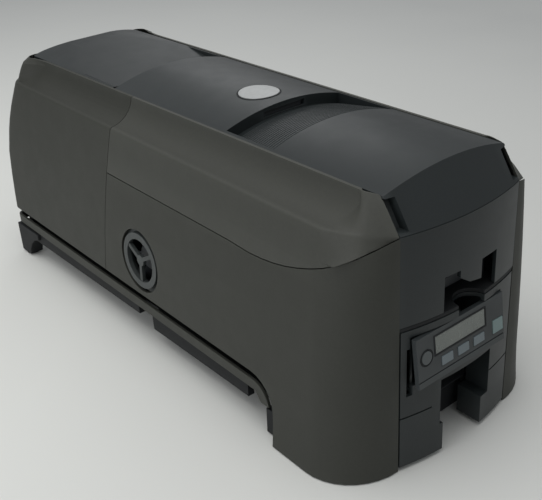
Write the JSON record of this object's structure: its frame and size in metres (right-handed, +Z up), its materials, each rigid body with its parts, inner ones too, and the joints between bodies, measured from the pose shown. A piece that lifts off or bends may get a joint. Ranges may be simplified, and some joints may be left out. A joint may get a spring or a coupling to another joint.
{
  "type": "id card printer",
  "caption": "Desktop ID card printer with a turner module, hinged lid and rear cover, display panel with keys, card entry above and card exit below.",
  "frame": {"origin": "centre of the overall box at the level of its feet", "axes": "+Z up, -Y out of the front where the cards go in, +X to the user's right"},
  "size_m": [0.2158, 0.538, 0.2233],
  "materials": {
    "taupe_moulding": "matte, fine spark texture",
    "black_moulding": "satin",
    "foot_rubber": "matte",
    "plated_shell": "bright",
    "bezel_plastic": "satin",
    "display_glass": "gloss",
    "key_grey": "satin",
    "key_dark": "satin",
    "sheet_steel": "zinc plated",
    "bright_steel": "ground",
    "roller_rubber": "ground rubber",
    "motor_case": "satin",
    "white_nylon": "satin",
    "ribbon": "gloss film",
    "cast_aluminium": "cast",
    "ceramic_head": "glazed",
    "board_green": "solder mask",
    "guard_grey": "satin",
    "white_badge": "gloss"
  },
  "bodies": {
    "base": {"base_pan_front": "black_moulding", "base_pan_rear": "black_moulding", "skirt_left": "taupe_moulding", "skirt_right": "taupe_moulding", "rubber_feet": "foot_rubber", "side_front_left": "taupe_moulding", "side_front_right": "taupe_moulding", "rear_shell": "taupe_moulding", "rear_panel": "black_moulding", "power_inlet": "black_moulding", "data_ports": "plated_shell", "front_panel": "black_moulding", "lower_front": "black_moulding", "display_bezel": "bezel_plastic", "display_window": "display_glass", "input_tray": "black_moulding", "output_tray": "black_moulding", "chassis_left": "sheet_steel", "chassis_right": "sheet_steel", "tie_bars": "bright_steel", "drive_motor": "motor_case", "drive_belt": "foot_rubber", "ribbon_frame": "black_moulding", "ribbon_film": "ribbon", "control_board": "board_green", "fan_frame": "black_moulding", "fan_guard": "guard_grey", "turner_motor": "motor_case", "hinge_brackets": "sheet_steel", "hinge_pins": "bright_steel"},
    "lid": {"lid_band_left": "taupe_moulding", "lid_band_right": "taupe_moulding", "lid_top": "black_moulding", "badge": "white_badge"},
    "rear_cover": {"rear_cover": "black_moulding", "rear_cover_tail": "taupe_moulding"},
    "printhead": {"printhead_carrier": "cast_aluminium", "printhead": "ceramic_head"},
    "latch_paddle": {"latch_paddle": "key_dark"},
    "power_button": {"power_button": "key_grey"},
    "soft_key_left": {"soft_key_left": "key_dark"},
    "soft_key_middle": {"soft_key_middle": "key_dark"},
    "soft_key_right": {"soft_key_right": "key_dark"},
    "user_key": {"user_key": "key_grey"},
    "card_weight": {"card_weight": "key_dark"},
    "pick_roller": {"pick_roller": "roller_rubber"},
    "feed_roller_front": {"feed_roller_front": "roller_rubber"},
    "platen_roller": {"platen_roller": "roller_rubber"},
    "feed_roller_rear": {"feed_roller_rear": "roller_rubber"},
    "pinch_roller_front": {"pinch_roller_front": "roller_rubber"},
    "pinch_roller_rear": {"pinch_roller_rear": "roller_rubber"},
    "cleaning_roller": {"cleaning_roller": "roller_rubber"},
    "motor_pulley": {"motor_pulley": "white_nylon"},
    "exit_gate": {"exit_gate": "key_dark"},
    "supply_spool": {"supply_spool": "white_nylon"},
    "takeup_spool": {"takeup_spool": "white_nylon"},
    "fan_rotor": {"fan_rotor": "key_dark"},
    "turner_frame": {"turner_frame": "key_dark"},
    "turner_roller": {"turner_roller": "roller_rubber"},
    "turner_idler": {"turner_idler": "roller_rubber"}
  },
  "joints": [
    {"name": "lid_hinge", "type": "hinge", "parent": "base", "child": "lid", "pos_m": [0, 0.046, 0.214], "axis": [1, 0, 0], "range_deg": [-60, 0]},
    {"name": "rear_cover_hinge", "type": "hinge", "parent": "base", "child": "rear_cover", "pos_m": [0, 0.2506, 0.166], "axis": [1, 0, 0], "range_deg": [-60, 0]},
    {"name": "latch_pivot", "type": "hinge", "parent": "lid", "child": "latch_paddle", "pos_m": [0, -0.0755, 0.2174], "axis": [1, 0, 0], "range_deg": [0, 14], "stiffness_Nm_per_rad": 0.02},
    {"name": "power_button_press", "type": "slide", "parent": "base", "child": "power_button", "axis": [0, 0.9931, -0.1175], "range_m": [0, 0.0005], "stiffness_N_per_m": 400},
    {"name": "soft_key_left_press", "type": "slide", "parent": "base", "child": "soft_key_left", "axis": [0, 0.9931, -0.1175], "range_m": [0, 0.0005], "stiffness_N_per_m": 400},
    {"name": "soft_key_middle_press", "type": "slide", "parent": "base", "child": "soft_key_middle", "axis": [0, 0.9931, -0.1175], "range_m": [0, 0.0005], "stiffness_N_per_m": 400},
    {"name": "soft_key_right_press", "type": "slide", "parent": "base", "child": "soft_key_right", "axis": [0, 0.9931, -0.1175], "range_m": [0, 0.0005], "stiffness_N_per_m": 400},
    {"name": "user_key_press", "type": "slide", "parent": "base", "child": "user_key", "axis": [0, 0.9931, -0.1175], "range_m": [0, 0.0005], "stiffness_N_per_m": 400},
    {"name": "card_weight_lift", "type": "slide", "parent": "base", "child": "card_weight", "axis": [0, 0, 1], "range_m": [0, 0.02]},
    {"name": "exit_gate_tilt", "type": "hinge", "parent": "base", "child": "exit_gate", "pos_m": [0, -0.189, 0.118], "axis": [1, 0, 0], "range_deg": [-18, 0], "stiffness_Nm_per_rad": 0.05},
    {"name": "printhead_lift", "type": "hinge", "parent": "base", "child": "printhead", "pos_m": [0, -0.04, 0.178], "axis": [1, 0, 0], "range_deg": [-8, 0]},
    {"name": "pick_roller_spin", "type": "hinge", "parent": "base", "child": "pick_roller", "pos_m": [0, -0.205, 0.1145], "axis": [1, 0, 0], "continuous": true},
    {"name": "feed_roller_front_spin", "type": "hinge", "parent": "base", "child": "feed_roller_front", "pos_m": [0, -0.16, 0.1145], "axis": [1, 0, 0], "continuous": true},
    {"name": "platen_spin", "type": "hinge", "parent": "base", "child": "platen_roller", "pos_m": [0, -0.072, 0.1145], "axis": [1, 0, 0], "continuous": true},
    {"name": "feed_roller_rear_spin", "type": "hinge", "parent": "base", "child": "feed_roller_rear", "pos_m": [0, 0.03, 0.1145], "axis": [1, 0, 0], "continuous": true},
    {"name": "pinch_front_spin", "type": "hinge", "parent": "base", "child": "pinch_roller_front", "pos_m": [0, -0.16, 0.1278], "axis": [1, 0, 0], "continuous": true},
    {"name": "pinch_rear_spin", "type": "hinge", "parent": "base", "child": "pinch_roller_rear", "pos_m": [0, 0.03, 0.1278], "axis": [1, 0, 0], "continuous": true},
    {"name": "cleaning_roller_spin", "type": "hinge", "parent": "base", "child": "cleaning_roller", "pos_m": [0, -0.132, 0.1288], "axis": [1, 0, 0], "continuous": true},
    {"name": "motor_pulley_spin", "type": "hinge", "parent": "base", "child": "motor_pulley", "pos_m": [0, -0.11, 0.075], "axis": [1, 0, 0], "continuous": true},
    {"name": "supply_spool_spin", "type": "hinge", "parent": "base", "child": "supply_spool", "pos_m": [0, -0.01, 0.166], "axis": [1, 0, 0], "continuous": true},
    {"name": "takeup_spool_spin", "type": "hinge", "parent": "base", "child": "takeup_spool", "pos_m": [0, -0.13, 0.166], "axis": [1, 0, 0], "continuous": true},
    {"name": "fan_spin", "type": "hinge", "parent": "base", "child": "fan_rotor", "pos_m": [0, 0.007, 0.0855], "axis": [1, 0, 0], "continuous": true},
    {"name": "turner_swing", "type": "hinge", "parent": "base", "child": "turner_frame", "pos_m": [0, 0.15, 0.1225], "axis": [1, 0, 0], "range_deg": [-180, 180]},
    {"name": "turner_roller_spin", "type": "hinge", "parent": "turner_frame", "child": "turner_roller", "pos_m": [0, 0.15, 0.1163], "axis": [1, 0, 0], "continuous": true},
    {"name": "turner_idler_spin", "type": "hinge", "parent": "turner_frame", "child": "turner_idler", "pos_m": [0, 0.15, 0.1287], "axis": [1, 0, 0], "continuous": true}
  ],
  "couplings": [
    {"joint": "pick_roller_spin", "follows": "platen_spin", "ratio": 1},
    {"joint": "feed_roller_front_spin", "follows": "platen_spin", "ratio": 1},
    {"joint": "feed_roller_rear_spin", "follows": "platen_spin", "ratio": 1},
    {"joint": "motor_pulley_spin", "follows": "platen_spin", "ratio": 1},
    {"joint": "pinch_front_spin", "follows": "platen_spin", "ratio": -1.6},
    {"joint": "pinch_rear_spin", "follows": "platen_spin", "ratio": -1.6},
    {"joint": "cleaning_roller_spin", "follows": "platen_spin", "ratio": -1.3333},
    {"joint": "takeup_spool_spin", "follows": "supply_spool_spin", "ratio": 1.25},
    {"joint": "turner_idler_spin", "follows": "turner_roller_spin", "ratio": -1}
  ]
}
